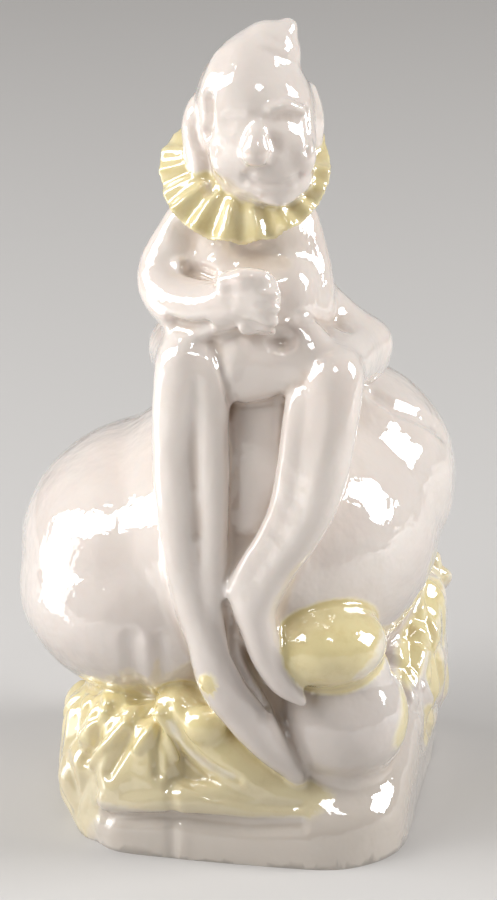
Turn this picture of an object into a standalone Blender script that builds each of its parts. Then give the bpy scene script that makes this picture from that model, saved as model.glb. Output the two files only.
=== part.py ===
"""Porcelain leprechaun figurine.

An elf in a pointed hood and a pleated ruff sits on a big toadstool with the shins hanging down in
front of its cap. A small toadstool, rocks and leaves stand round the foot on a low plinth.
It is cast in one piece, so it is one closed solid.

X runs to the right, Y to the back and Z up. The origin is the middle of the flat underside.
"""
import math

import bmesh
import bpy
from mathutils import Matrix, Vector

# Plinth
plinth_width = 0.0490
plinth_depth = 0.0590
plinth_height = 0.0068
plinth_corner_left = 0.0055
plinth_corner_right = 0.0125
plinth_edge = 0.0016
plinth_bow = 0.0012

# Mound of rock between the plinth and the cap
mound_height = 0.0240
mound_ledge = 0.0013
front_bank_height = 0.0125
boulder_size = 0.0060

# Big toadstool
cap_width = 0.0696
cap_depth = 0.0610
cap_height = 0.0530
cap_rise = 0.0426
cap_lean = math.radians(11.0)
cap_shift = 0.0069
cap_set_back = 0.0030

# Small toadstool at the front right
ball_radius = 0.0106
ball_rise = 0.0209
dome_radius = 0.0096
dome_height = 0.0068
ball_inset_right = 0.0107
ball_inset_front = 0.0120

# Seated figure, from the seat to the tip of the hood
figure_height = 0.0560
seat_sink = 0.0050

# Ruff
ruff_radius = 0.0130
ruff_thickness = 0.0026
ruff_pleats = 17
ruff_pleat_depth = 0.0010

# Skin
casting_grain = 0.00100
detail_grain = 0.00072
melt_passes = 16
detail_passes = 3
triangle_budget = 9200

half_width = plinth_width / 2
half_depth = plinth_depth / 2
seat_height = cap_rise + cap_height * 0.687 - seat_sink

# The figure's stations are shares of its height: x, y and z of a ball's centre and its radius,
# in 56ths of the height from seat to tip, with z counted from the seat.
share = figure_height / 56.0


def fig(x, y, z):
    return Vector((x * share, y * share, seat_height + z * share))


def ball_points(centre, radii, turn=None):
    """Points on one ellipsoid."""
    points = []
    turn = turn or Matrix.Identity(3)
    for ring in range(1, 12):
        polar = math.pi * ring / 12
        for step in range(24):
            angle = 2 * math.pi * (step + 0.5 * (ring % 2)) / 24
            away = Vector((
                math.sin(polar) * math.cos(angle) * radii[0],
                math.sin(polar) * math.sin(angle) * radii[1],
                math.cos(polar) * radii[2],
            ))
            points.append(Vector(centre) + turn @ away)
    points.append(Vector(centre) + turn @ Vector((0, 0, radii[2])))
    points.append(Vector(centre) - turn @ Vector((0, 0, radii[2])))
    return points


def add_hull(bm, points):
    """Adds one closed convex skin over the points."""
    skin = bmesh.new()
    for point in points:
        skin.verts.new(point)
    bmesh.ops.convex_hull(skin, input=skin.verts[:])
    spare = [v for v in skin.verts if not v.link_faces]
    bmesh.ops.delete(skin, geom=spare, context="VERTS")
    bmesh.ops.recalc_face_normals(skin, faces=skin.faces[:])
    mesh = bpy.data.meshes.new("skin")
    skin.to_mesh(mesh)
    skin.free()
    bm.from_mesh(mesh)
    bpy.data.meshes.remove(mesh)


def add_ball(bm, centre, radii, turn=None):
    add_hull(bm, ball_points(centre, radii, turn))


def add_limb(bm, stations):
    """Joins successive balls with convex skins, like rolled clay."""
    balls = []
    for x, y, z, r in stations:
        centre = fig(x, y, z)
        balls.append(ball_points(centre, (r * share, r * share, r * share)))
    for first, second in zip(balls, balls[1:]):
        add_hull(bm, first + second)


def add_fig_ball(bm, x, y, z, rx, ry, rz, turn=None):
    add_ball(bm, fig(x, y, z), (rx * share, ry * share, rz * share), turn)


def new_object(name, bm):
    mesh = bpy.data.meshes.new(name)
    bm.to_mesh(mesh)
    bm.free()
    item = bpy.data.objects.new(name, mesh)
    bpy.context.collection.objects.link(item)
    return item


def settle(item):
    """Gives the object the mesh that its modifiers make."""
    graph = bpy.context.evaluated_depsgraph_get()
    graph.update()
    mesh = bpy.data.meshes.new_from_object(item.evaluated_get(graph))
    old = item.data
    item.modifiers.clear()
    item.data = mesh
    bpy.data.meshes.remove(old)


def cast(item, grain, passes):
    """Fuses overlapping skins into one and lets the clay melt together."""
    fuse = item.modifiers.new("fuse", "REMESH")
    fuse.mode = "VOXEL"
    fuse.voxel_size = grain
    melt = item.modifiers.new("melt", "SMOOTH")
    melt.factor = 0.5
    melt.iterations = passes
    settle(item)


def plinth_outline(width, depth, left, right):
    """Outline of the plinth, bowed at the front, small corners on the left and wide ones on the right."""
    corners = (
        (width / 2, depth / 2, right, 0),
        (-width / 2, depth / 2, left, 90),
        (-width / 2, -depth / 2, left, 180),
        (width / 2, -depth / 2, right, 270),
    )
    points = []
    for x, y, radius, start in corners:
        middle_x = x - math.copysign(radius, x)
        middle_y = y - math.copysign(radius, y)
        for step in range(7):
            angle = math.radians(start + 15 * step)
            points.append((middle_x + radius * math.cos(angle), middle_y + radius * math.sin(angle)))
    front = depth / 2
    for step in range(1, 8):
        x = -width / 2 + left + (width - left - right) * step / 8
        bow = plinth_bow * math.sin(math.pi * step / 8)
        points.insert(20 + step, (x, -front - bow))
    return points


def add_prism(bm, outline, low, high, edge):
    """Upright prism with a rounded top edge."""
    rings = []
    bottom = [bm.verts.new((x, y, low)) for x, y in outline]
    rings.append(bottom)
    for step in range(4):
        angle = math.radians(30 * step)
        inset = edge * (1 - math.cos(angle))
        z = high - edge * (1 - math.sin(angle))
        scale_x = 1 - inset / half_width
        scale_y = 1 - inset / half_depth
        rings.append([bm.verts.new((x * scale_x, y * scale_y, z)) for x, y in outline])
    for lower, upper in zip(rings, rings[1:]):
        for i in range(len(lower)):
            j = (i + 1) % len(lower)
            bm.faces.new((lower[i], lower[j], upper[j], upper[i]))
    bm.faces.new(rings[-1])
    bm.faces.new(list(reversed(bottom)))


def model_base(bm):
    """Plinth, mound of rock, big cap and small toadstool."""
    outline = plinth_outline(plinth_width, plinth_depth, plinth_corner_left, plinth_corner_right)
    add_prism(bm, outline, -0.006, plinth_height, plinth_edge)

    left = -half_width + mound_ledge
    right = half_width
    front = -half_depth + mound_ledge
    back = half_depth - mound_ledge
    mound = []
    for x, y, z, rx, ry, rz in (
        (left + 0.0060, front + 0.0065, plinth_height, 0.0060, 0.0065, 0.0050),
        (left + 0.0085, front + 0.0100, mound_height * 0.72, 0.0065, 0.0070, 0.0060),
        (left + 0.0090, back - 0.0090, plinth_height, 0.0090, 0.0090, 0.0050),
        (left + 0.0120, back - 0.0120, mound_height, 0.0090, 0.0090, 0.0060),
        (right - 0.0110, front + 0.0105, front_bank_height - 0.0065, 0.0110, 0.0112, 0.0065),
        (right - 0.0090, back - 0.0090, plinth_height, 0.0090, 0.0090, 0.0050),
        (right - 0.0061, back - 0.0112, mound_height * 0.58, 0.0088, 0.0090, 0.0080),
        (right - 0.0069, back - 0.0132, mound_height * 1.17, 0.0092, 0.0090, 0.0070),
    ):
        mound += ball_points((x, y, z), (rx, ry, rz))
    add_hull(bm, mound)
    add_boulders(bm, right, back)

    leaves = []
    for out, along, z, r in (
        (0.0038, 0.017, 0.0150, 0.0046), (0.0030, 0.012, 0.0070, 0.0050),
        (0.0040, 0.028, 0.0110, 0.0055), (-0.0040, 0.0085, 0.0170, 0.0050),
    ):
        leaves += ball_points((-half_width - out, -half_depth + along, z), (r, r, r * 1.15))
    leaves += ball_points((-half_width + 0.009, -half_depth + 0.024, 0.012), (0.007, 0.009, 0.010))
    leaves += ball_points((-half_width + 0.0011, -half_depth + 0.0079, 0.0006), (0.0046, 0.0050, 0.0060))
    add_hull(bm, leaves)

    middle = Vector((-cap_shift, cap_set_back, cap_rise))
    for x, y, z, rx, ry, rz, leaning in (
        (0.049, 0.0, 0.011, 0.431, 0.500, 0.475, 1.0),
        (-0.167, -0.016, -0.021, 0.333, 0.426, 0.368, 0.0),
        (-0.158, -0.066, -0.134, 0.341, 0.434, 0.336, 0.0),
        (0.180, 0.133, 0.140, 0.320, 0.366, 0.392, 0.8),
    ):
        centre = middle + Vector((x * cap_width, y * cap_depth, z * cap_height))
        lean = Matrix.Rotation(-cap_lean * leaning, 3, "Y")
        add_ball(bm, centre, (rx * cap_width, ry * cap_depth, rz * cap_height), lean)

    foot = Vector((half_width - ball_inset_right, -half_depth + ball_inset_front, plinth_height))
    stem = ball_points(foot + Vector((0, 0, ball_rise - plinth_height)), [ball_radius * 0.8] * 3)
    stem += ball_points(foot, (ball_radius * 0.7, ball_radius * 0.7, 0.004))
    add_hull(bm, stem)


def add_boulders(bm, right, back):
    """Rounded rocks that stand out of the mound at the right, the back and the left rear."""
    for k in range(5):
        high = k % 2
        x = right - boulder_size * (0.86 + 0.12 * high)
        add_boulder(bm, x, -0.0040 + 0.0064 * k, mound_height * (0.40 + 0.42 * high), 0)
    for k in range(5):
        high = (k + 1) % 2
        y = back - boulder_size * (0.72 + 0.30 * high)
        add_boulder(bm, -half_width * 0.68 + 0.0083 * k, y, mound_height * (0.36 + 0.46 * high), 1)
    for k in range(3):
        high = k % 2
        x = -right + boulder_size * (1.05 + 0.25 * high)
        add_boulder(bm, x, 0.0075 + 0.0066 * k, mound_height * (0.36 + 0.40 * high), 0)


def add_boulder(bm, x, y, z, along):
    long, thick = boulder_size * 1.12, boulder_size * 0.90
    radii = (long, thick, boulder_size) if along else (thick, long, boulder_size)
    add_ball(bm, (x, y, z), radii)


def add_small_toadstool(bm):
    button = Vector((half_width - ball_inset_right, -half_depth + ball_inset_front, ball_rise))
    add_ball(bm, button, (ball_radius, ball_radius, ball_radius))
    dome = button + Vector((-ball_radius * 0.21, -ball_radius * 0.36, ball_radius * 1.32))
    add_ball(bm, dome, (dome_radius, dome_radius * 0.92, dome_height))


# Each leg is two ridges, the shin and the calf, that run down into a long pointed shoe.
right_leg = (
    (
        (-9.9, -22.8, 6.2, 4.7), (-10.6, -24.6, 0.4, 4.2), (-11.0, -25.4, -7.1, 3.8),
        (-10.7, -26.2, -14.8, 3.6), (-9.9, -26.8, -22.6, 3.3), (-8.0, -27.0, -30.9, 3.4),
        (-5.9, -27.4, -36.5, 3.7),
    ),
    (
        (-6.6, -23.4, 5.8, 3.7), (-5.6, -25.4, -3.6, 2.8), (-5.1, -26.4, -14.2, 2.5),
        (-5.0, -27.0, -22.1, 2.3), (-5.2, -27.4, -30.4, 2.3), (-5.3, -27.6, -36.0, 2.8),
    ),
    (
        (-5.7, -27.5, -36.5, 3.8), (-3.1, -27.8, -44.0, 4.4), (-0.4, -27.8, -48.2, 4.0),
        (2.1, -27.5, -52.2, 3.5), (5.0, -27.2, -56.0, 2.8), (8.4, -27.0, -60.0, 1.7),
    ),
)
left_leg = (
    (
        (12.6, -21.8, 4.8, 4.8), (12.1, -25.0, -4.4, 4.4), (10.8, -26.4, -12.3, 4.1),
        (8.2, -27.0, -18.7, 3.9), (4.6, -27.4, -24.3, 3.6), (1.8, -27.8, -29.8, 3.5),
    ),
    (
        (8.4, -23.4, 1.0, 3.0), (7.6, -25.6, -4.9, 2.6), (6.5, -27.0, -12.9, 2.4),
        (4.2, -27.8, -19.3, 2.3), (1.2, -28.1, -24.3, 2.2), (-0.8, -28.1, -28.8, 2.2),
    ),
    (
        (1.2, -28.0, -30.5, 3.6), (2.1, -28.3, -34.0, 3.1), (3.6, -28.4, -38.7, 2.9),
        (6.5, -28.5, -43.6, 2.5), (9.3, -28.4, -46.4, 1.6),
    ),
)


def model_figure(bm):
    """Body, arms, legs, head and hood as rolled clay."""
    torso = []
    for x, y, z, rx, ry, rz in (
        (-1.8, -11.0, 25.5, 8.4, 6.4, 5.0),
        (0.6, -9.6, 18.6, 9.4, 7.0, 6.0),
        (0.0, -8.4, 10.0, 11.2, 9.6, 7.0),
        (-1.6, -6.0, 1.0, 16.2, 13.5, 8.0),
    ):
        torso.append(ball_points(fig(x, y, z), (rx * share, ry * share, rz * share)))
    for first, second in zip(torso, torso[1:]):
        add_hull(bm, first + second)

    add_limb(bm, ((-9.0, -10.0, 24.0, 3.4), (-9.6, -10.5, 18.0, 4.2), (-10.4, -10.0, 10.0, 5.2)))
    add_limb(bm, ((-2.2, -12.0, 27, 5.6), (-1.0, -14.0, 33, 5.8)))
    apron = []
    for x, y, z, rx, ry, rz in (
        (0.5, -10.0, 6.0, 11.5, 8.5, 5.0), (0.5, -13.0, -6.0, 10.0, 11.0, 6.0), (5.0, -15.0, -14.0, 8.5, 9.0, 7.0),
        (-1.0, -12.0, -30.0, 8.0, 14.0, 8.0), (-0.5, -16.0, -44.0, 9.0, 9.0, 6.0),
    ):
        apron += ball_points(fig(x, y, z), (rx * share, ry * share, rz * share))
    add_hull(bm, apron)
    lap = []
    for x, y, z, r in ((-4.5, -19, 5.0, 4.6), (6.8, -19, 4.6, 4.6), (1.0, -20.8, 4.6, 4.6), (0.5, -12, 10.0, 6.0)):
        lap += ball_points(fig(x, y, z), (r * share, r * share, r * share))
    add_hull(bm, lap)
    bosom = []
    for x, y, z, r in ((-4.5, -15, 17.0, 4.6), (4.0, -15.5, 16.5, 5.0), (0.5, -18, 12.0, 5.0), (5.5, -16, 8.5, 5.0)):
        bosom += ball_points(fig(x, y, z), (r * share, r * share, r * share))
    add_hull(bm, bosom)
    footing = []
    for x, y, z, r in ((-5.0, -20, -51.0, 4.8), (3.0, -20.5, -55.0, 5.0), (-2.0, -20, -43.0, 5.0)):
        footing += ball_points(fig(x, y, z), (r * share, r * share, r * share))
    add_hull(bm, footing)

    add_limb(bm, ((-13.4, -6, 3.5, 5.6), (-12.2, -14, 5.2, 5.4), (-9.6, -22.5, 5.8, 4.8)))
    add_limb(bm, ((13.0, -2, 2.6, 6.2), (12.4, -12, 4.4, 5.6), (12.0, -21.0, 4.6, 5.0)))
    add_limb(bm, ((7.0, -8, 12.0, 4.6), (11.5, -6.5, 7.2, 4.6), (15.1, -5.0, 4.6, 4.6)))

    for shin, calf, shoe in (right_leg, left_leg):
        add_limb(bm, shin)
        add_limb(bm, shoe)

    add_limb(bm, (
        (-10.2, -11.5, 27.0, 3.8), (-12.9, -12.4, 22.6, 3.9), (-15.2, -14.6, 17.4, 4.0),
        (-12.4, -19.0, 14.4, 4.2), (-7.2, -22.0, 14.2, 4.2), (-2.8, -23.8, 15.8, 3.9), (0.2, -24.6, 17.2, 3.9),
    ))
    add_limb(bm, (
        (4.8, -9.5, 25.5, 3.8), (6.2, -10.5, 20.5, 3.7), (7.2, -12.0, 15.5, 3.8),
        (7.2, -14.5, 11.5, 3.8), (5.0, -17.5, 9.5, 3.6),
    ))

    add_fig_ball(bm, 0.4, -15.6, 39.4, 8.5, 8.7, 9.6)
    add_fig_ball(bm, 2.3, -17.4, 34.4, 6.6, 6.2, 4.6)
    add_limb(bm, (
        (-0.9, -13.8, 43.6, 9.2), (-0.8, -13.5, 46.4, 8.9), (-0.5, -13.0, 48.8, 8.0),
        (0.0, -12.6, 50.6, 6.6), (0.9, -12.0, 52.0, 5.2),
    ))


def add_ruff(bm):
    """Pleated collar: a thick ring that waves up and down towards its rim, tilted forward."""
    tilt = Matrix.Rotation(math.radians(44), 3, "X") @ Matrix.Rotation(math.radians(1), 3, "Y")
    middle = fig(-2.6, -12.6, 33.8)
    steps = ruff_pleats * 6
    profile = (
        (0.35, 0.9, 0.0), (0.70, 0.75, 0.6), (1.00, 0.45, 1.0),
        (1.00, -0.45, 1.0), (0.70, -0.75, 0.6), (0.35, -0.9, 0.0),
    )
    rings = []
    for step in range(steps):
        angle = 2 * math.pi * step / steps
        wave = math.sin(angle * ruff_pleats)
        ring = []
        for reach, rise, ripple in profile:
            radius = ruff_radius * reach * (1 + 0.03 * ripple * wave)
            z = ruff_thickness * rise + ruff_pleat_depth * ripple * wave
            place = Vector((radius * math.cos(angle), radius * math.sin(angle), z))
            ring.append(bm.verts.new(middle + tilt @ place))
        rings.append(ring)
    for i, ring in enumerate(rings):
        following = rings[(i + 1) % steps]
        for k in range(len(ring)):
            m = (k + 1) % len(ring)
            bm.faces.new((ring[k], following[k], following[m], ring[m]))


def model_details(bm):
    """Ears, face, fingers, ruff, rocks and leaves."""
    add_limb(bm, (
        (-8.3, -12.6, 45.4, 1.6), (-9.4, -12.8, 42.4, 2.6), (-9.6, -13.0, 39.0, 2.7),
        (-9.2, -13.4, 35.4, 2.6), (-8.0, -13.6, 32.6, 2.0),
    ))
    add_limb(bm, ((6.6, -9.4, 45.6, 1.4), (6.9, -9.6, 42.4, 2.0), (6.9, -9.8, 38.4, 2.0), (6.2, -10.2, 34.6, 1.6)))
    add_limb(bm, ((0.9, -12.0, 51.6, 5.0), (2.3, -11.5, 53.4, 3.4), (3.6, -11.0, 55.3, 1.8)))
    add_limb(bm, ((1.2, -22.9, 43.0, 1.2), (1.3, -24.0, 41.4, 1.8), (1.4, -24.4, 40.0, 2.2)))
    add_limb(bm, ((-5.4, -20.2, 44.6, 1.1), (-2.9, -21.8, 45.4, 1.4), (-0.4, -22.7, 44.2, 1.0)))
    add_limb(bm, ((2.9, -22.5, 44.6, 1.0), (4.9, -21.5, 46.0, 1.2), (7.0, -19.4, 45.2, 1.0)))
    add_fig_ball(bm, -2.9, -20.2, 37.4, 3.7, 2.9, 3.7)
    add_fig_ball(bm, 6.3, -19.2, 38.0, 3.1, 2.7, 3.6)
    add_fig_ball(bm, 2.8, -20.9, 35.4, 4.4, 2.6, 1.7)
    add_fig_ball(bm, 3.2, -20.6, 32.4, 3.2, 2.5, 1.9)
    add_ruff(bm)
    for shin, calf, shoe in (right_leg, left_leg):
        add_limb(bm, calf)

    add_fig_ball(bm, 1.3, -24.9, 17.6, 3.7, 3.4, 4.7)
    for k in range(4):
        add_fig_ball(bm, 2.3 - 0.2 * k, -27.4 + 0.2 * k, 20.0 - 2.1 * k, 2.9, 1.5, 1.3)
    add_fig_ball(bm, -2.3, -23.4, 10.2, 3.0, 2.4, 3.2)
    add_small_toadstool(bm)

    front = -half_depth
    ledge = []
    for x, inset, z, size in (
        (-0.225, 0.0040, 0.0225, 0.0042), (-0.090, 0.0030, 0.0165, 0.0046), (0.060, 0.0022, 0.0115, 0.0038),
        (0.180, 0.0030, 0.0092, 0.0030), (0.265, 0.0050, 0.0088, 0.0022),
    ):
        ledge.append(ball_points((x * plinth_width, front + inset + size * 0.5, z), (size, size, size)))
    for first, second in zip(ledge, ledge[1:]):
        add_hull(bm, first + second)
    rock = []
    for x, inset, z, size in (
        (-0.440, 0.0075, 0.0185, 0.0045), (-0.290, 0.0040, 0.0180, 0.0040),
        (-0.430, 0.0040, 0.0085, 0.0034), (-0.230, 0.0026, 0.0090, 0.0030),
    ):
        rock += ball_points((x * plinth_width, front + inset + size * 0.6, z), (size, size, size))
    add_hull(bm, rock)
    add_ball(bm, (-0.135 * plinth_width, front + 0.0030, 0.0215), (0.0036, 0.0030, 0.0034))

    for k in range(12):
        turn = (k // 3) / 3
        place = Vector((
            -half_width - 0.0066 + 0.0062 * turn,
            front + 0.0215 - 0.0150 * turn,
            0.0060 + 0.0056 * (k % 3) - 0.0010 * turn,
        ))
        add_ball(bm, place, (0.0033, 0.0035, 0.0034))
    for k in range(6):
        turn = k / 5
        place = Vector((
            half_width - 0.0030,
            front + 0.0300 + 0.0200 * turn,
            0.0120 + 0.0140 * turn + 0.0040 * (k % 2),
        ))
        add_ball(bm, place, (0.0045, 0.0040, 0.0055))


def drop_crumbs(bm):
    """Keeps the largest skin and clears any crumb that the thinning left inside it."""
    waiting = set(bm.verts)
    skins = []
    while waiting:
        stack = [waiting.pop()]
        skin = list(stack)
        while stack:
            for edge in stack.pop().link_edges:
                for vert in edge.verts:
                    if vert in waiting:
                        waiting.remove(vert)
                        stack.append(vert)
                        skin.append(vert)
        skins.append(skin)
    skins.sort(key=len)
    for crumb in skins[:-1]:
        bmesh.ops.delete(bm, geom=crumb, context="VERTS")


def shave_underside(item):
    """Cuts the foot flat at table height and closes it."""
    bm = bmesh.new()
    bm.from_mesh(item.data)
    drop_crumbs(bm)
    parts = bm.verts[:] + bm.edges[:] + bm.faces[:]
    cut = bmesh.ops.bisect_plane(
        bm, geom=parts, dist=1e-6, plane_co=(0, 0, 0), plane_no=(0, 0, 1), clear_inner=True,
    )
    rim = [e for e in cut["geom_cut"] if isinstance(e, bmesh.types.BMEdge)]
    bmesh.ops.contextual_create(bm, geom=rim)
    bmesh.ops.triangulate(bm, faces=bm.faces[:])
    bmesh.ops.recalc_face_normals(bm, faces=bm.faces[:])
    bm.to_mesh(item.data)
    bm.free()


def porcelain():
    glaze = bpy.data.materials.new("porcelain")
    glaze.use_nodes = True
    shader = glaze.node_tree.nodes["Principled BSDF"]
    shader.inputs["Base Color"].default_value = (0.80, 0.72, 0.66, 1.0)
    shader.inputs["Roughness"].default_value = 0.06
    shader.inputs["Metallic"].default_value = 0.0
    return glaze


def build():
    for item in list(bpy.data.objects):
        bpy.data.objects.remove(item, do_unlink=True)

    bm = bmesh.new()
    model_base(bm)
    model_figure(bm)
    figurine = new_object("figurine", bm)
    cast(figurine, casting_grain, melt_passes)

    bm = bmesh.new()
    bm.from_mesh(figurine.data)
    model_details(bm)
    bm.to_mesh(figurine.data)
    bm.free()
    cast(figurine, detail_grain, detail_passes)

    count = sum(len(face.vertices) - 2 for face in figurine.data.polygons)
    thin = figurine.modifiers.new("thin", "DECIMATE")
    thin.ratio = triangle_budget / count
    settle(figurine)
    shave_underside(figurine)

    figurine.data.materials.clear()
    figurine.data.materials.append(porcelain())
    figurine.data.shade_smooth()
    figurine.data.set_sharp_from_angle(angle=math.radians(50))
    return figurine


build()
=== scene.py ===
import math
import bpy
import numpy as np
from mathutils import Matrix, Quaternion, Vector, noise
from mathutils.bvhtree import BVHTree


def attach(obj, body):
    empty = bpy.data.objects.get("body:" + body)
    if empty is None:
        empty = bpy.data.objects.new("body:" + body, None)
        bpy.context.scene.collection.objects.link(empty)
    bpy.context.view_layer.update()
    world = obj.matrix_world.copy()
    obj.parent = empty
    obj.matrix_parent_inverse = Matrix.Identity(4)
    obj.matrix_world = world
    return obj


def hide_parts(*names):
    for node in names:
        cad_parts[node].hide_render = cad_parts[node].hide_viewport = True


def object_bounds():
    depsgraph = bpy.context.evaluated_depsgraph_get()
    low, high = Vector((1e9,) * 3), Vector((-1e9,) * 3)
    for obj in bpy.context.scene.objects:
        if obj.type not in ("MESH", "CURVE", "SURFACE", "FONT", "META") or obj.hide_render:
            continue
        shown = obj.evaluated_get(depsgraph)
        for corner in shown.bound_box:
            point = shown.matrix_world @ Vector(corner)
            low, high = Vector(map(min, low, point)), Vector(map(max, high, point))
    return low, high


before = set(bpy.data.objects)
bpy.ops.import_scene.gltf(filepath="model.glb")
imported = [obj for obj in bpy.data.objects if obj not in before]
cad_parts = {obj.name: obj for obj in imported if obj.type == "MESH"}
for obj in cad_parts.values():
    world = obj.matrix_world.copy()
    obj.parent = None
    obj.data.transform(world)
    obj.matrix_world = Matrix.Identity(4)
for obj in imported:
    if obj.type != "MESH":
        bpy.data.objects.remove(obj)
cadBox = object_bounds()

# The porcelain figurine is built as its clay model would be: rolled and pressed forms, melted
# together, then drawn on with a modelling tool, then glazed. Lengths are in millimetres, except in
# the glaze and the paper, where they are in metres as Blender's nodes take them.
mm = 0.001
seat = 74.0   # the figure's stations count up and down from the seat

camera = {
    "azimuth": 10.0,
    "elevation": 20.0,
    "distance": 520.0,
    "target": (-4.3, 0.0, 58.0),
    "lens": 130.2,
    "sensor": 36.0,
    "frame": (497, 900),
}


def makeCamera(c):
    a, e = math.radians(c["azimuth"]), math.radians(c["elevation"])
    back = Vector((math.sin(a) * math.cos(e), -math.cos(a) * math.cos(e), math.sin(e)))
    eye = Vector(c["target"]) + back * c["distance"]
    bpy.ops.object.camera_add(location=eye * mm)
    made = bpy.context.object
    made.name = "photoCamera"
    made.rotation_euler = back.to_track_quat("Z", "Y").to_euler()
    made.data.lens = c["lens"]
    made.data.sensor_width = c["sensor"]
    made.data.clip_start = 0.05
    made.data.clip_end = 20.0
    bpy.context.scene.camera = made
    right = Vector((math.cos(a), math.sin(a), 0.0))
    return eye, right, back.cross(right), back


def sightLine(px, py):
    # direction from the camera through a point of the picture
    wide, tall = camera["frame"]
    zoom = tall * camera["lens"] / camera["sensor"]
    line = -viewBack + viewRight * ((px - wide / 2) / zoom) - viewUp * ((py - tall / 2) / zoom)
    return line.normalized()


def clearSelection():
    for item in list(bpy.context.selected_objects):
        item.select_set(False)


def ball(centre, radii, turn=(0, 0, 0), fine=1.0):
    clearSelection()
    bpy.ops.mesh.primitive_uv_sphere_add(
        segments=int(28 * fine), ring_count=int(16 * fine), radius=mm,
        location=Vector(centre) * mm, rotation=[math.radians(t) for t in turn])
    made = bpy.context.object
    made.scale = radii if hasattr(radii, "__len__") else (radii, radii, radii)
    return made


def joined(name, pieces):
    clearSelection()
    for piece in pieces:
        piece.select_set(True)
    bpy.context.view_layer.objects.active = pieces[0]
    if len(pieces) > 1:
        bpy.ops.object.join()
    made = bpy.context.object
    made.name = name
    bpy.ops.object.transform_apply(location=True, rotation=True, scale=True)
    return made


def pressed(name, balls):
    # one lump of clay pressed over several balls
    made = joined(name, [ball(b[:3], b[3:6] if len(b) > 5 else b[3]) for b in balls])
    bpy.ops.object.mode_set(mode="EDIT")
    bpy.ops.mesh.select_mode(type="VERT")
    bpy.ops.mesh.select_all(action="SELECT")
    bpy.ops.mesh.delete(type="EDGE_FACE")
    bpy.ops.mesh.select_all(action="SELECT")
    bpy.ops.mesh.convex_hull()
    bpy.ops.object.mode_set(mode="OBJECT")
    return made


def rolled(name, stations, flat=1.0):
    # a roll of clay through stations of x, y, z and radius
    clearSelection()
    bpy.ops.curve.primitive_bezier_curve_add(radius=mm, location=(0, 0, 0))
    roll = bpy.context.object
    spline = roll.data.splines[0]
    spline.bezier_points.add(len(stations) - 2)
    for point, (x, y, z, r) in zip(spline.bezier_points, stations):
        point.co = Vector((x, y, z)) * mm
        point.handle_left_type = point.handle_right_type = "AUTO"
        point.radius = r
    spline.radius_interpolation = "CARDINAL"
    roll.data.dimensions = "3D"
    roll.data.resolution_u = 8
    roll.data.bevel_depth = mm
    roll.data.bevel_resolution = 6
    roll.data.use_fill_caps = True
    bpy.ops.object.convert(target="MESH")
    ends = [ball(s[:3], s[3] * 0.98) for s in (stations[0], stations[-1])]
    return joined(name, [roll] + ends)


def onFigure(stations):
    return [(s[0], s[1], s[2] + seat) + tuple(s[3:]) for s in stations]


def onHead(part):
    balls = head[part] if isinstance(head[part], list) else [head[part]]
    return [ball(b[:3], b[3:]) for b in onFigure(balls)]


def useModifier(piece, kind, **settings):
    clearSelection()
    piece.select_set(True)
    bpy.context.view_layer.objects.active = piece
    modifier = piece.modifiers.new(kind.lower(), kind)
    for name, value in settings.items():
        setattr(modifier, name, value)
    bpy.ops.object.modifier_apply(modifier=modifier.name)


def melted(piece, grain, spread):
    # fuses the lumps into one skin, then lets it flow as soft clay and glaze do
    useModifier(piece, "REMESH", mode="VOXEL", voxel_size=grain * mm)
    useModifier(piece, "SMOOTH", factor=0.5, iterations=max(1, round(spread / grain ** 2)))


def skinOf(piece):
    mesh = piece.data
    spots = np.empty(len(mesh.vertices) * 3)
    mesh.vertices.foreach_get("co", spots)
    facing = np.empty(len(mesh.vertices) * 3)
    mesh.vertex_normals.foreach_get("vector", facing)
    return spots.reshape(-1, 3) / mm, facing.reshape(-1, 3)


def setSkin(piece, spots):
    piece.data.vertices.foreach_set("co", (spots * mm).ravel())
    piece.data.update()


plinth = {
    "width": 49.0, "depth": 59.0, "height": 6.8, "low": -5.0,
    "leftCorner": 5.5, "rightCorner": 12.5, "edge": 1.6, "bow": 1.2,
}


def bevelWhere(piece, test, offset, segments):
    mesh = piece.data
    for part in (mesh.vertices, mesh.edges, mesh.polygons):
        part.foreach_set("select", [False] * len(part))
    for edge in mesh.edges:
        ends = [mesh.vertices[v].co / mm for v in edge.vertices]
        if test(ends[0], ends[1]):
            edge.select = True
            for v in edge.vertices:
                mesh.vertices[v].select = True
    bpy.ops.object.mode_set(mode="EDIT")
    bpy.ops.mesh.select_mode(type="EDGE")
    bpy.ops.mesh.bevel(offset=offset * mm, segments=segments, affect="EDGES")
    bpy.ops.object.mode_set(mode="OBJECT")


def makePlinth(p):
    clearSelection()
    tall = p["height"] - p["low"]
    bpy.ops.mesh.primitive_cube_add(size=mm, location=(0, 0, (p["low"] + tall / 2) * mm))
    made = bpy.context.object
    made.scale = (p["width"], p["depth"], tall)
    made = joined("plinth", [made])
    close = 0.01

    def upright(a, b):
        return abs(a.z - b.z) > 1 and abs(a.x - b.x) < close

    def rightCorner(a, b):
        return upright(a, b) and a.x > p["width"] / 2 - close and abs(a.y) > p["depth"] / 2 - close

    bevelWhere(made, lambda a, b: upright(a, b) and a.x < 0, p["leftCorner"], 8)
    bevelWhere(made, rightCorner, p["rightCorner"], 10)
    bevelWhere(made, lambda a, b: min(a.z, b.z) > p["height"] - close, p["edge"], 4)
    return made


def bowFront(piece, p):
    # the plinth's front swells out a little in the middle
    spots = skinOf(piece)[0]
    reach = np.clip(1 - (spots[:, 0] / (p["width"] / 2)) ** 2, 0, 1)
    low = np.clip((p["height"] + 3 - spots[:, 2]) / 3, 0, 1)
    front = np.clip((-spots[:, 1] - p["depth"] / 2 + 6) / 6, 0, 1)
    spots[:, 1] -= p["bow"] * reach * low * front
    setSkin(piece, spots)


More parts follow.
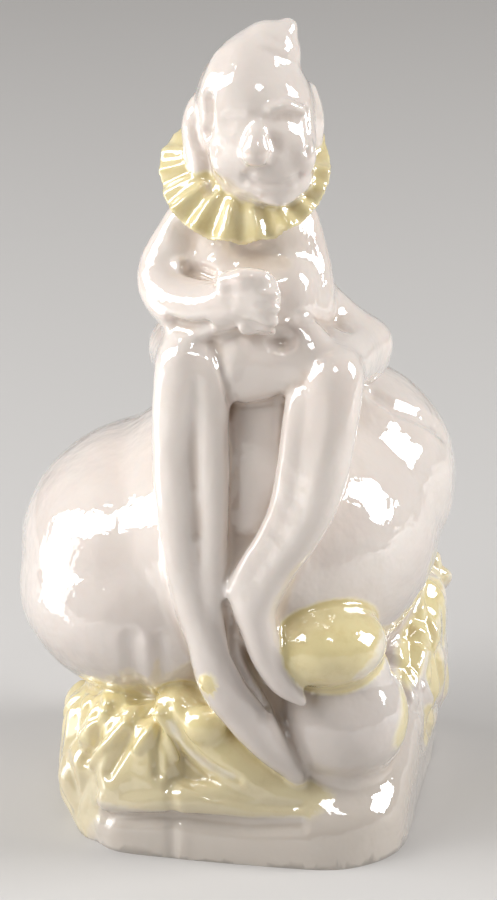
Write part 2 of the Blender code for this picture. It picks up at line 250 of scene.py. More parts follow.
mound = {
    "rock": [
        (-17.2, -21.7, 6.8, 6.0, 6.5, 5.0), (-14.7, -18.2, 17.3, 6.5, 7.0, 6.0),
        (-14.2, 19.2, 6.8, 9.0, 9.0, 5.0), (-11.2, 16.2, 24.0, 9.0, 9.0, 6.0),
        (13.5, -17.7, 6.0, 11.0, 11.2, 6.5), (15.5, 19.2, 6.8, 9.0, 9.0, 5.0),
        (18.4, 17.0, 14.0, 8.8, 9.0, 8.0), (17.6, 15.0, 28.0, 9.2, 9.0, 7.0),
    ],
    "leafBank": [
        (-28.3, -12.5, 15.0, 4.6, 4.6, 5.3), (-27.5, -17.5, 7.0, 5.0, 5.0, 5.8),
        (-28.5, -1.5, 11.0, 5.5, 5.5, 6.3), (-20.5, -21.0, 17.0, 5.0, 5.0, 5.8),
        (-15.5, -5.5, 12.0, 7.0, 9.0, 10.0), (-23.4, -21.6, 0.6, 4.6, 5.0, 6.0),
    ],
    "boulder": 6.0, "tall": 24.0,
}


def makeBoulders(m, p):
    # rounded rocks along the right side, the back and the left rear
    size, tall, made = m["boulder"], m["tall"], []
    for k in range(5):
        odd, even = k % 2, (k + 1) % 2
        right = (p["width"] / 2 - size * (0.86 + 0.12 * odd), -4.0 + 6.4 * k, tall * (0.40 + 0.42 * odd))
        made.append(ball(right, (size * 0.90, size * 1.12, size)))
        inward = 1.3 + size * (0.72 + 0.30 * even)
        back = (-p["width"] * 0.34 + 8.3 * k, p["depth"] / 2 - inward, tall * (0.36 + 0.46 * even))
        made.append(ball(back, (size * 1.12, size * 0.90, size)))
    for k in range(3):
        odd = k % 2
        left = (-p["width"] / 2 + size * (1.05 + 0.25 * odd), 7.5 + 6.6 * k, tall * (0.36 + 0.40 * odd))
        made.append(ball(left, (size * 0.90, size * 1.12, size)))
    return made


toadstool = {
    "cap": ((-3.5, 3.0, 43.2), (30.0, 30.5, 25.2), -11.0),
    "leftShoulder": ((-18.5, 2.0, 41.5), (23.2, 26.0, 19.5), 0.0),
    "leftBulge": ((-17.9, -1.0, 35.5), (23.7, 26.5, 17.8), 0.0),
    "rightLobe": ((5.6, 11.1, 50.0), (22.3, 22.3, 20.8), -9.0),
}

smallToadstool = {
    "ball": (13.8, -17.5, 20.9, 10.6, 10.6, 10.6),
    "stem": [(13.3, -17.5, 20.4, 8.6, 8.6, 6.5), (13.3, -17.5, 6.8, 7.6, 7.6, 4.0)],
    "dome": (11.6, -21.3, 34.9, 9.6, 8.8, 6.8),
    "shoulder": [(14.8, -18.2, 28.0, 7.0), (12.0, -19.0, 31.0, 7.0)],
}

body = {
    "torso": [
        (-1.8, -11.0, 25.5, 8.4, 6.4, 5.0), (0.6, -9.6, 18.6, 9.4, 7.0, 6.0),
        (0.0, -8.4, 10.0, 11.2, 9.6, 7.0), (-1.6, -6.0, 1.0, 16.2, 13.5, 8.0),
    ],
    "side": [(-9.0, -10.0, 24.0, 3.4), (-9.6, -10.5, 18.0, 4.2), (-10.4, -10.0, 10.0, 5.2)],
    "crook": [
        (-12.2, -13.4, 20.8, 2.8), (-4.5, -14.6, 22.0, 3.0),
        (-11.6, -16.4, 15.0, 3.2), (-4.0, -18.2, 14.6, 3.6),
    ],
    "neck": [(-2.2, -12.0, 27, 5.6), (-1.0, -14.0, 33, 5.8)],
    "apron": [
        (0.5, -10.0, 6.0, 11.5, 8.5, 5.0), (0.5, -13.0, -6.0, 10.0, 11.0, 6.0),
        (5.0, -15.0, -14.0, 8.5, 9.0, 7.0),
        (-1.0, -12.0, -30.0, 8.0, 14.0, 8.0), (-0.5, -16.0, -44.0, 9.0, 9.0, 6.0),
    ],
    "lap": [(-4.5, -19, 5.0, 4.6), (6.8, -19, 4.6, 4.6), (1.0, -19.6, 4.8, 4.6), (0.5, -12, 10.0, 6.0)],
    "bosom": [(-4.5, -15, 17.0, 4.6), (4.0, -15.5, 16.5, 5.0), (0.5, -18, 12.0, 5.0), (5.5, -16, 8.5, 5.0)],
    "footing": [(-5.0, -20, -51.0, 4.8), (3.0, -20.5, -55.0, 5.0), (-2.0, -20, -43.0, 5.0)],
    "rightThigh": [(-13.4, -6, 3.5, 5.6), (-12.2, -14, 5.2, 5.4), (-9.6, -22.5, 5.8, 4.8)],
    "leftThigh": [(13.0, -2, 2.6, 6.2), (12.4, -12, 4.4, 5.6), (12.0, -21.0, 4.6, 5.0)],
    "leftHip": [(7.0, -8, 12.0, 4.6), (11.5, -6.5, 7.2, 4.6), (15.1, -5.0, 4.6, 4.6)],
    "rightArm": [
        (-10.2, -11.5, 27.0, 3.8), (-12.9, -12.4, 22.6, 3.9), (-15.2, -14.6, 17.4, 4.0),
        (-12.4, -19.0, 14.4, 4.2), (-7.2, -22.0, 14.2, 4.2),
        (-2.8, -23.8, 15.8, 3.9), (0.2, -24.6, 17.2, 3.9),
    ],
    "leftArm": [
        (4.8, -9.3, 25.5, 3.6), (6.4, -10.0, 20.5, 3.5), (7.4, -11.4, 15.5, 3.7),
        (7.4, -13.8, 11.5, 3.7), (5.0, -16.8, 9.5, 3.6),
    ],
}

hand = {
    "fist": (1.2, -24.9, 17.4, 3.9, 3.4, 4.7),
    "thumb": [(-3.2, -25.6, 19.8, 1.8), (0.0, -26.6, 20.8, 1.9), (2.4, -26.3, 20.8, 1.6)],
    "fingers": [(2.3, -26.8, 18.9), (2.4, -26.9, 16.8), (2.2, -26.8, 14.8), (1.7, -26.5, 13.0)],
    "finger": (3.0, 1.6, 1.25),
}

cloth = {
    "panel": [
        (-6.5, -20.8, 12.0, 3.0), (6.0, -18.6, 11.5, 3.2), (-8.6, -22.4, 5.6, 3.2), (10.6, -21.0, 6.4, 3.4),
        (-1.4, -22.0, 2.6, 2.9),
    ],
    "fold": [(6.4, -18.0, 16.5, 1.5), (6.3, -19.8, 11.5, 1.7)],
}

legs = {
    "rightShin": [
        (-9.9, -22.8, 6.2, 4.8), (-10.6, -24.6, 0.4, 4.3), (-11.0, -25.4, -7.1, 3.9),
        (-10.7, -26.2, -14.8, 3.7), (-9.9, -26.8, -22.6, 3.4), (-8.0, -27.0, -30.9, 3.4),
        (-5.9, -27.4, -36.5, 3.7),
    ],
    "rightCalf": [
        (-6.6, -23.4, 5.8, 3.7), (-5.6, -25.4, -3.6, 2.9), (-5.1, -26.4, -14.2, 2.6),
        (-5.0, -27.0, -22.1, 2.3), (-5.2, -27.4, -30.4, 2.3), (-5.3, -27.6, -36.0, 2.8),
    ],
    "rightShoe": [
        (-5.7, -27.5, -36.5, 3.8), (-3.1, -27.8, -44.0, 4.4), (-0.4, -27.8, -48.2, 4.0),
        (2.1, -27.5, -52.2, 3.5), (5.0, -27.2, -56.0, 2.8), (8.4, -27.0, -60.0, 1.7),
    ],
    "leftShin": [
        (12.6, -21.8, 4.8, 4.9), (12.1, -25.0, -4.4, 4.5), (10.8, -26.4, -12.3, 4.2),
        (8.2, -27.0, -18.7, 3.9), (4.6, -27.4, -24.3, 3.6), (1.8, -27.8, -29.8, 3.5),
    ],
    "leftCalf": [
        (8.4, -23.4, 1.0, 3.0), (7.6, -25.6, -4.9, 2.7), (6.5, -27.0, -12.9, 2.5),
        (4.2, -27.8, -19.3, 2.3), (1.2, -28.1, -24.3, 2.2), (-0.8, -28.1, -28.8, 2.2),
    ],
    "leftShoe": [
        (1.2, -28.0, -30.5, 3.6), (2.1, -28.3, -34.0, 3.1), (3.6, -28.4, -38.7, 2.9),
        (6.5, -28.5, -43.6, 2.5), (9.3, -28.4, -46.4, 1.5),
    ],
}

head = {
    "skull": (0.4, -15.6, 39.4, 8.5, 8.7, 9.6),
    "jaw": (2.3, -17.4, 34.4, 6.6, 6.2, 4.6),
    "hood": [
        (-0.9, -13.8, 43.6, 9.2), (-0.8, -13.5, 46.4, 8.9), (-0.5, -13.0, 48.8, 7.9),
        (0.0, -12.6, 50.6, 6.5), (0.9, -12.0, 52.0, 5.0),
    ],
    "tip": [(0.9, -12.0, 51.6, 5.0), (2.3, -11.5, 53.4, 3.4), (3.6, -11.0, 55.3, 1.8)],
    "rightEar": [
        (-7.8, -13.0, 45.6, 2.0), (-8.6, -13.2, 42.4, 3.2), (-8.7, -13.4, 39.0, 3.5),
        (-8.3, -13.8, 35.4, 3.3), (-7.2, -14.2, 32.0, 2.8),
    ],
    "leftEar": [
        (6.6, -9.4, 45.6, 1.4), (6.9, -9.6, 42.4, 2.0), (6.9, -9.8, 38.4, 2.0), (6.2, -10.2, 34.6, 1.6),
    ],
    "cheeks": [(-2.9, -20.2, 37.4, 3.7, 2.9, 3.7), (6.3, -19.2, 38.0, 3.1, 2.7, 3.6)],
    "muzzle": [(2.8, -20.9, 35.2, 4.4, 2.5, 2.3)],
    "chin": [(3.2, -20.5, 32.4, 3.2, 2.3, 1.9)],
    "nose": [(1.0, -22.6, 43.0, 1.3), (1.1, -23.8, 41.2, 1.9), (1.1, -24.1, 39.6, 2.5)],
    "nostrils": [(-0.8, -23.0, 39.0, 1.4, 1.3, 1.1), (3.1, -22.8, 39.2, 1.4, 1.3, 1.1)],
    "rightBrow": [(-5.4, -19.8, 44.2, 1.0), (-2.9, -21.3, 45.3, 1.2), (-0.4, -22.2, 45.2, 0.9)],
    "leftBrow": [(2.9, -22.0, 45.4, 0.9), (4.9, -21.0, 45.8, 1.1), (7.0, -19.0, 44.8, 0.9)],
    "eyes": [(-2.7, -20.7, 42.1, 1.9, 1.1, 1.2), (5.1, -20.1, 42.6, 1.7, 1.0, 1.1)],
}

ruff = {
    "middle": (-2.6, -12.6, 107.8),
    "tilt": (44.0, 1.0, 0.0),
    "reach": 13.2, "inner": 4.0, "thick": 2.1, "rim": 0.72, "pleats": 19, "pleatDepth": 0.85,
}


def makeRuff(r):
    clearSelection()
    middle = (r["reach"] + r["inner"]) / 2
    tube = (r["reach"] - r["inner"]) / 2
    bpy.ops.mesh.primitive_torus_add(
        major_segments=r["pleats"] * 10, minor_segments=28,
        major_radius=middle * mm, minor_radius=tube * mm)
    made = bpy.context.object
    spots = skinOf(made)[0]
    angle = np.arctan2(spots[:, 1], spots[:, 0])
    out = np.hypot(spots[:, 0], spots[:, 1])
    share = (out - r["inner"]) / (2 * tube)
    # narrow pleats in front, broad soft ones at the sides and the back
    front = 0.5 - 0.5 * np.sin(angle)
    narrow = np.cos((angle + 0.10 * np.sin(2 * angle)) * r["pleats"]) * (0.25 + 0.75 * front ** 2)
    broad = 0.75 * np.cos(angle * 8 + 0.6) * (1 - 0.7 * front ** 3)
    wave = (narrow + broad) * share ** 0.8
    half = r["thick"] * (1 - share) + r["rim"] * share
    spots[:, 2] = np.sign(spots[:, 2]) * np.abs(spots[:, 2] / tube) ** 0.6 * half
    spots[:, 2] += r["pleatDepth"] * wave - 0.9 * share ** 2 + 0.9
    grow = 1 + 0.016 * wave
    spots[:, 0] *= grow
    spots[:, 1] *= grow
    setSkin(made, spots)
    made.rotation_euler = [math.radians(t) for t in r["tilt"]]
    made.location = Vector(r["middle"]) * mm
    return joined("ruff", [made])


rocks = {
    "ledge": [
        (-11.0, -23.4, 22.5, 4.2), (-4.4, -24.2, 16.5, 4.6), (2.9, -25.4, 11.5, 3.8),
        (8.8, -25.0, 9.2, 3.0), (13.0, -23.4, 8.8, 2.2),
    ],
    "leftRock": [
        (-22.0, -19.8, 19.0, 4.5), (-14.7, -23.8, 17.0, 4.5),
        (-20.1, -25.7, 9.5, 3.8), (-13.2, -26.8, 10.5, 3.2),
    ],
    "sill": [
        (-21.6, -27.0, 7.9, 2.4), (-16.7, -27.9, 8.7, 2.6), (-10.9, -28.1, 9.5, 2.7), (-4.5, -28.0, 9.8, 2.7),
        (2.5, -27.6, 8.8, 2.3), (9.0, -26.8, 8.2, 2.0),
    ],
    "corner": [(-22.6, -24.4, 7.6, 2.8), (-22.0, -25.4, 3.0, 2.8), (-20.6, -26.8, 2.2, 1.8)],
    "pebble": (-6.6, -26.5, 21.5, 3.6, 3.0, 3.4),
    "rightLeaves": [
        (21.5, 0.5, 12.0, 4.5, 4.0, 5.5), (21.5, 4.5, 18.8, 4.5, 4.0, 5.5),
        (21.5, 8.5, 17.6, 4.5, 4.0, 5.5), (21.5, 12.5, 24.4, 4.5, 4.0, 5.5),
        (21.5, 16.5, 23.2, 4.5, 4.0, 5.5), (21.5, 20.5, 29.0, 4.5, 4.0, 5.5),
    ],
    "button": [(-5.0, -31.0, 31.0, 1.4, 1.0, 1.4)],
}

# Tool strokes, drawn from the camera's side: points in the picture, half width and lift in
# millimetres. A negative lift is a groove.
strokes = {
    "earSlot": ([(208, 98), (209, 112), (209, 125), (206, 136)], 1.5, -1.1),
    "earHollow": ([(197, 110), (194, 126), (197, 142), (203, 152)], 1.3, -0.5),
    "underEar": ([(206, 160), (206, 175), (210, 190)], 1.5, -0.7),
    "leftEarSlot": ([(307, 108), (309, 130), (307, 152)], 0.8, -0.5),
    "rightSocket": ([(229, 122), (238, 120), (246, 123)], 2.3, -0.3),
    "leftSocket": ([(276, 120), (283, 118), (292, 120)], 2.1, -0.3),
    "noseSide": ([(274, 140), (275, 149), (272, 157)], 1.7, -0.35),
    "smileFold": ([(262, 167), (254, 169), (247, 175), (244, 182)], 1.0, -0.35),
    "mouth": ([(246, 176), (253, 182), (268, 184), (286, 183), (300, 176)], 0.9, -0.5),
    "lowerLip": ([(262, 190), (278, 191), (292, 188)], 1.2, 0.25),
    "chinBall": ([(276, 203), (284, 203), (290, 201)], 2.2, 0.3),
    "hoodBend": ([(262, 44), (274, 48), (286, 52)], 1.2, 0.25),
    "hoodSide": ([(217, 54), (210, 72), (203, 92)], 2.0, 0.25),
    "wrist": ([(228, 272), (231, 285), (229, 300)], 1.6, -0.25),
    "armPocket": ([(190, 268), (200, 271), (210, 274)], 1.7, -1.6),
    "armPocketTop": ([(184, 232), (190, 248), (200, 260)], 3.0, -0.5),
    "elbowDimple": ([(178, 263), (181, 267)], 1.4, 0.5),
    "underArm": ([(172, 324), (190, 328), (206, 327)], 1.8, -1.2),
    "underFist": ([(252, 332), (266, 338), (282, 340)], 2.6, -1.1),
    "legLine": ([(214, 343), (219, 358), (225, 378), (230, 398)], 1.4, -0.5),
    "lapRidge": ([(246, 332), (238, 350), (230, 374)], 2.0, 0.45),
    "lapHollow": ([(256, 340), (270, 343), (284, 342)], 3.0, -0.6),
    "hipCrease": ([(302, 316), (320, 319), (336, 323), (346, 329)], 1.8, -0.45),
    "hem": ([(231, 398), (240, 404), (254, 407), (272, 403), (290, 390)], 1.2, -0.25),
    "rightLegGroove": ([(196, 385), (194, 430), (193, 480), (197, 530)], 1.8, -0.2),
    "leftLegGroove": ([(318, 400), (318, 425), (309, 460), (298, 500)], 1.8, -0.15),
    "ankleGap": ([(228, 604), (231, 622), (235, 652), (251, 683), (268, 706)], 1.2, -1.1),
    "capCrease": ([(376, 396), (395, 408), (420, 417), (440, 430)], 2.4, -0.8),
    "capFold": ([(131, 640), (134, 665), (139, 698)], 2.6, -0.55),
    "capRidge": ([(147, 645), (149, 675), (154, 704)], 2.6, 0.5),
    "capNarrow": ([(160, 640), (162, 672), (163, 704)], 1.8, -0.45),
    "rockRidgeOne": ([(159, 712), (150, 732), (138, 749)], 1.4, 0.9),
    "rockRidgeTwo": ([(161, 714), (168, 735), (175, 758)], 1.2, 0.8),
    "rockRidgeThree": ([(126, 724), (110, 742), (93, 764)], 1.4, 0.9),
    "rockRidgeFour": ([(107, 712), (92, 730), (80, 744)], 1.2, 0.6),
    "rockValleyOne": ([(146, 712), (122, 748), (108, 772)], 1.6, -1.0),
    "rockValleyTwo": ([(160, 724), (157, 748), (158, 774)], 1.4, -0.9),
    "rockValleyThree": ([(112, 706), (98, 738), (84, 760)], 1.3, -0.7),
    "pebbleRim": ([(168, 706), (182, 735), (197, 753), (216, 768), (238, 780)], 1.1, -0.6),
    "ledgeLine": ([(176, 778), (212, 796), (252, 806), (300, 806)], 1.1, -0.35),
    "sillLine": (
        [(96, 812), (108, 818), (140, 819), (172, 817), (205, 823), (250, 828), (300, 826)], 1.9, -0.55),
    "frontSeam": ([(171, 776), (172, 800), (172, 830), (172, 856)], 1.5, -0.30),
    "frontSeamRidge": ([(182, 778), (183, 805), (183, 854)], 2.0, 0.14),
}


def polylineGap(spots, line):
    # distance from every spot to a line of points
    best = np.full(len(spots), 1e9)
    for a, b in zip(line, line[1:]):
        along = b - a
        t = np.clip(((spots - a) @ along) / max(along @ along, 1e-9), 0, 1)
        gap = np.linalg.norm(spots - (a + t[:, None] * along), axis=1)
        best = np.minimum(best, gap)
    return best


def drawStrokes(piece, strokes):
    spots, facing = skinOf(piece)
    tree = BVHTree.FromObject(piece, bpy.context.evaluated_depsgraph_get())
    for name, (points, wide, lift) in strokes.items():
        line, normals = [], []
        for (px, py) in points:
            hit, normal = tree.ray_cast(viewEye * mm, sightLine(px, py))[:2]
            if hit is not None:
                line.append(np.array(hit) / mm)
                normals.append(np.array(normal))
        if len(line) < 2:
            print("stroke misses the clay:", name)
            continue
        line = np.array(line)
        near = np.all((spots > line.min(axis=0) - wide) & (spots < line.max(axis=0) + wide), axis=1)
        near &= facing @ np.mean(normals, axis=0) > 0
        chosen = np.nonzero(near)[0]
        gap = polylineGap(spots[chosen], line) / wide
        falloff = np.clip(1 - gap ** 2, 0, None) ** 2
        spots[chosen] += facing[chosen] * (lift * falloff)[:, None]
    setSkin(piece, spots)


def treeOf(pieces):
    # nearest-surface lookup for pieces that are about to be joined
    corners, faces = [], []
    for piece in pieces:
        start = len(corners)
        corners += [v.co.copy() for v in piece.data.vertices]
        faces += [[start + v for v in f.vertices] for f in piece.data.polygons]
    return BVHTree.FromPolygons(corners, faces)


def gapTo(tree, spots):
    return np.array([tree.find_nearest(Vector(s) * mm)[3] for s in spots]) / mm


def softStep(values, low, high):
    t = np.clip((values - low) / (high - low), 0, 1)
    return t * t * (3 - 2 * t)


def offCapNow(spots):
    # 0 on the big cap, 1 on what stands clear of it
    return softStep(gapTo(capTree, spots), 1.2, 2.4)


def leafRelief(spots, seeds, cell):
    # overlapping leaf bumps with creases between them
    best = np.full(len(spots), 1e9)
    second = np.full(len(spots), 1e9)
    for seed in seeds:
        gap = np.linalg.norm((spots - seed) * np.array([1.0, 1.0, 0.6]), axis=1)
        second = np.minimum(second, np.maximum(best, gap))
        best = np.minimum(best, gap)
    return np.clip((second - best) / cell, 0, 1)


print("camera")
viewEye, viewRight, viewUp, viewBack = makeCamera(camera)

print("base and toadstool")
capParts = []
for middle, radii, lean in toadstool.values():
    capParts.append(joined("cap", [ball(middle, radii, (0, lean, 0), 2.0)]))
plinthPiece = makePlinth(plinth)
rockCore = pressed("rockCore", mound["rock"])
leafBank = pressed("leafBank", mound["leafBank"])
small = smallToadstool
smallBall = joined("smallBall", [ball(small["ball"][:3], small["ball"][3:], fine=2.0)])
smallStem = pressed("smallStem", small["stem"])
domePiece = joined("dome", [ball(small["dome"][:3], small["dome"][3:], fine=2.0)])
domeTree = treeOf([domePiece])
coarse = capParts + [plinthPiece, rockCore, leafBank, smallStem] + makeBoulders(mound, plinth)
coarse.append(pressed("smallShoulder", small["shoulder"]))
capTree = treeOf(capParts)

print("figure")
torso = onFigure(body["torso"])
for lower, upper in zip(torso, torso[1:]):
    coarse.append(pressed("torso", [lower, upper]))
for part in ("apron", "lap", "bosom", "crook", "footing"):
    coarse.append(pressed(part, onFigure(body[part])))
for part in ("side", "neck", "rightThigh", "leftThigh", "leftHip", "rightArm", "leftArm"):
    coarse.append(rolled(part, onFigure(body[part])))
for part in ("rightShin", "leftShin", "rightShoe", "leftShoe"):
    coarse.append(rolled(part, onFigure(legs[part])))
coarse += onHead("skull") + onHead("jaw")
coarse.append(rolled("hood", onFigure(head["hood"])))

print("first melt")
clay = joined("figurineGlazed", coarse)
melted(clay, 0.5, 11.0)
bowFront(clay, plinth)

print("second melt")
middling = [clay, smallBall, domePiece]
middling += [rolled(part, onFigure(legs[part])) for part in ("rightCalf", "leftCalf")]
middling += [rolled(part, onFigure(head[part])) for part in ("rightEar", "leftEar", "tip")]
middling += onHead("cheeks") + onHead("muzzle") + onHead("chin")
middling += [ball(b[:3], b[3:]) for b in onFigure([hand["fist"]])]
middling.append(pressed("lapPanel", onFigure(cloth["panel"])))
middling.append(rolled("tunicFold", onFigure(cloth["fold"])))
middling.append(rolled("thumb", onFigure(hand["thumb"])))
clay = joined("figurineGlazed", middling)
melted(clay, 0.45, 2.2)

print("details")
details = [rolled(part, onFigure(head[part])) for part in ("nose", "rightBrow", "leftBrow")]
details += onHead("nostrils") + onHead("eyes")
details += [ball(f, hand["finger"], (0, 8, 0)) for f in onFigure(hand["fingers"])]
ruffPiece = makeRuff(ruff)
ledge = rolled("ledge", rocks["ledge"])
sill = rolled("sill", rocks["sill"])
corner = pressed("corner", rocks["corner"])
leftRock = pressed("leftRock", rocks["leftRock"])
pebble = joined("pebble", [ball(rocks["pebble"][:3], rocks["pebble"][3:])])
rightLeaves = joined("rightLeaves", [ball(b[:3], b[3:]) for b in rocks["rightLeaves"]])
buttons = joined("buttons", [ball(b[:3], b[3:]) for b in rocks["button"]])
bankCopy = pressed("bankCopy", mound["leafBank"])
lustreTrees = {
    "ruff": (treeOf([ruffPiece]), 0.5),
    "rocks": (treeOf([ledge, leftRock, pebble, sill]), 1.0),
    "leaves": (treeOf([bankCopy, rightLeaves]), 1.3),
    "corner": (treeOf([corner]), 1.0),
    "buttons": (treeOf([buttons]), 0.4),
    "dome": (domeTree, 0.9),
}
trim = [ruffPiece, ledge, leftRock, pebble, sill, corner, rightLeaves, buttons, bankCopy]
clay = joined("figurineGlazed", [clay] + trim + details)

print("third melt")
melted(clay, 0.4, 0.9)

print("tool strokes")
drawStrokes(clay, strokes)
spots, facing = skinOf(clay)
leaves = {
    "left": {"low": (-35, -26, 1), "high": (-18, 29, 23), "count": 120, "height": 1.15},
    "right": {"low": (14, -9, 9), "high": (28, 27, 36), "count": 95, "height": 1.1},
    "back": {"low": (-24, 18, 7), "high": (26, 34, 30), "count": 95, "height": 0.8},
}
leafWidth = 2.4
offCap = offCapNow(spots)
offSmall = softStep(np.linalg.norm(spots - np.array(small["ball"][:3]), axis=1), 11.4, 13.0)
offSmall *= softStep(np.linalg.norm(spots - np.array(small["dome"][:3]), axis=1), 10.0, 12.0)
rng = np.random.default_rng(4)
for bank in leaves.values():
    low, high = np.array(bank["low"]), np.array(bank["high"])
    seeds = rng.uniform(low, high, (bank["count"], 3))
    inside = np.ones(len(spots))
    for axis in range(3):
        inside *= softStep(spots[:, axis], low[axis], low[axis] + 3)
        inside *= softStep(-spots[:, axis], -high[axis] - 3, -high[axis])
    relief = leafRelief(spots, seeds, leafWidth)
    spots += facing * (inside * offCap * offSmall * bank["height"] * (relief - 0.5))[:, None]
setSkin(clay, spots)
useModifier(clay, "SMOOTH", factor=0.5, iterations=2)

print("glaze runs unevenly")
swellHeight = 0.10
spots, facing = skinOf(clay)
swell = np.array([noise.noise(Vector(s) / 5.5) + 0.45 * noise.noise(Vector(s) / 2.6) for s in spots])
spots += facing * (swellHeight * swell)[:, None]
setSkin(clay, spots)

print("flat underside and triangle count")
bpy.ops.object.mode_set(mode="EDIT")
bpy.ops.mesh.select_all(action="SELECT")
bpy.ops.mesh.bisect(plane_co=(0, 0, 0), plane_no=(0, 0, 1), use_fill=True, clear_inner=True)
bpy.ops.object.mode_set(mode="OBJECT")
faces = sum(len(f.vertices) - 2 for f in clay.data.polygons)
print("triangles before thinning", faces)
mostFaces = 190000
if faces > mostFaces:
    useModifier(clay, "DECIMATE", ratio=mostFaces / faces)
lowest, highest = (np.array(c) / mm for c in cadBox)
setSkin(clay, np.clip(skinOf(clay)[0], lowest, highest))   # stays in the solid's box
clay.data.shade_smooth()

print("lustre and hollows")
# Lustre brushed on from the camera's side: points in the picture, half width in millimetres, amount.
# A negative amount wipes it off.
brushwork = {
    "rockWash": ([(95, 705), (120, 740), (150, 770), (175, 775)], 6.0, 0.9),
    "rockTop": ([(84, 706), (120, 704), (158, 706)], 3.5, 0.9),
    "underShoe": ([(180, 700), (190, 730), (212, 752), (240, 775)], 3.5, 0.75),
    "paleSill": ([(104, 797), (140, 800), (175, 802), (205, 806)], 3.0, 0.42),
    "sillWipe": ([(104, 813), (140, 814), (172, 813), (205, 822), (250, 828), (300, 824)], 1.4, -0.8),
    "baseWipe": ([(100, 838), (140, 842), (180, 842), (250, 850), (300, 846)], 3.4, -1.0),
    "ledgeWash": ([(190, 765), (215, 783), (255, 796), (300, 799), (322, 799)], 2.2, 0.85),
    "shoeBand": ([(170, 722), (184, 748), (205, 764), (232, 776)], 0.9, -0.45),
    "rightBankLow": ([(402, 735), (406, 700), (412, 665)], 3.0, 0.8),
    "rightBankHigh": ([(408, 655), (424, 625), (438, 590), (432, 565)], 3.4, 0.85),
    "rightEdgeWipe": ([(446, 655), (440, 700), (432, 745)], 1.6, -0.8),
    "rightLowWipe": ([(400, 772), (390, 800), (420, 770)], 4.0, -0.8),
    "domeFade": ([(384, 640), (376, 662), (362, 676)], 2.2, -0.55),
    "cornerWash": ([(84, 800), (88, 822), (96, 845)], 3.0, 0.5),
}


def brushOn(piece, values, work):
    spots = skinOf(piece)[0]
    tree = BVHTree.FromObject(piece, bpy.context.evaluated_depsgraph_get())
    for name, (points, wide, amount) in work.items():
        hits = [tree.ray_cast(viewEye * mm, sightLine(px, py)) for px, py in points]
        line = [np.array(hit[0]) / mm for hit in hits if hit[0] is not None]
        if len(line) < 2:
            print("brush misses the clay:", name)
            continue
        gap = polylineGap(spots, np.array(line)) / wide
        touch = np.clip(1.25 - gap ** 2, 0, 1) * abs(amount)
        values[:] = np.maximum(values, touch) if amount > 0 else values * (1 - touch)


spots, facing = skinOf(clay)
count = len(spots)
lustre = np.zeros(count)
for name, (tree, near) in lustreTrees.items():
    gap = gapTo(tree, spots)
    amount = 1 - softStep(gap, near * 0.5, near * 1.8)
    if name == "rocks":
        amount *= softStep(spots[:, 2], 7.0, 9.0) * softStep(-spots[:, 0], -15.0, -11.0)
    if name == "ruff":
        amount *= softStep(spots[:, 2], 96.0, 97.0) * 0.8
    if name == "corner":
        amount *= 0.45
    if name == "leaves":
        amount *= 0.8 * softStep(-spots[:, 1], -20.0, -8.0) + 0.25
    lustre = np.maximum(lustre, amount)
patches = np.array([noise.noise(Vector(s) / 9.0 + Vector((3, 7, 1))) for s in spots])
bank = softStep(np.abs(spots[:, 0]) + 0.6 * np.clip(spots[:, 1], 0, None), 20.0, 25.0)
bank *= softStep(spots[:, 2], 9.0, 13.0)
bank *= offCapNow(spots) * softStep(spots[:, 1], -8.0, 4.0)
lustre = np.maximum(lustre, bank * (0.35 + 0.9 * patches))
brushOn(clay, lustre, brushwork)
lustre = np.clip(lustre, 0, 1)

ends = np.empty(len(clay.data.edges) * 2, dtype=np.int64)
clay.data.edges.foreach_get("vertices", ends)
ends = ends.reshape(-1, 2)
links = np.bincount(ends.ravel(), minlength=count).astype(float)[:, None]


def spreadOnce(values):
    total = np.zeros_like(values)
    for k in range(values.shape[1]):
        total[:, k] = (np.bincount(ends[:, 0], values[ends[:, 1], k], count)
                       + np.bincount(ends[:, 1], values[ends[:, 0], k], count))
    return total / np.maximum(links, 1)


def creviceOf(piece, reach):
    # share of short sight lines from each spot that the clay itself stops, near stops counting more
    spots, facing = skinOf(piece)
    tree = BVHTree.FromObject(piece, bpy.context.evaluated_depsgraph_get())
    aside = np.cross(facing, (0.3, 0.5, 0.81))
    aside /= np.linalg.norm(aside, axis=1)[:, None]
    across = np.cross(facing, aside)
    shut = np.zeros(len(spots))
    rays = [(0.0, 0.0)] + [(55.0, 60.0 * k) for k in range(6)] + [(30.0, 120.0 * k + 30) for k in range(3)]
    for tilt, turn in rays:
        t, u = math.radians(tilt), math.radians(turn)
        lines = facing * math.cos(t) + (aside * math.cos(u) + across * math.sin(u)) * math.sin(t)
        starts = (spots + facing * 0.12) * mm
        for i, (start, line) in enumerate(zip(starts.tolist(), lines.tolist())):
            far = tree.ray_cast(start, line, reach * mm)[3]
            if far is not None:
                shut[i] += 1 - 0.6 * far / (reach * mm)
    return shut / len(rays)


# how deep each spot sits in a hollow and how shut in it is; the glaze paints shade there from both
soft = spots.copy()
for step in range(30):
    soft = spreadOnce(soft)
hollow = np.clip(np.einsum("ij,ij->i", soft - spots, facing) / 0.40, -1, 1)[:, None]
crevice = creviceOf(clay, 9.0)[:, None]
for step in range(4):
    hollow = spreadOnce(hollow)
    crevice = spreadOnce(crevice)
lustre = spreadOnce(lustre[:, None])[:, 0]
for name, values in (("lustre", lustre), ("hollow", hollow[:, 0] * 0.5 + 0.5), ("crevice", crevice[:, 0])):
    layer = clay.data.attributes.new(name, "FLOAT", "POINT")
    layer.data.foreach_set("value", values.astype(np.float32))

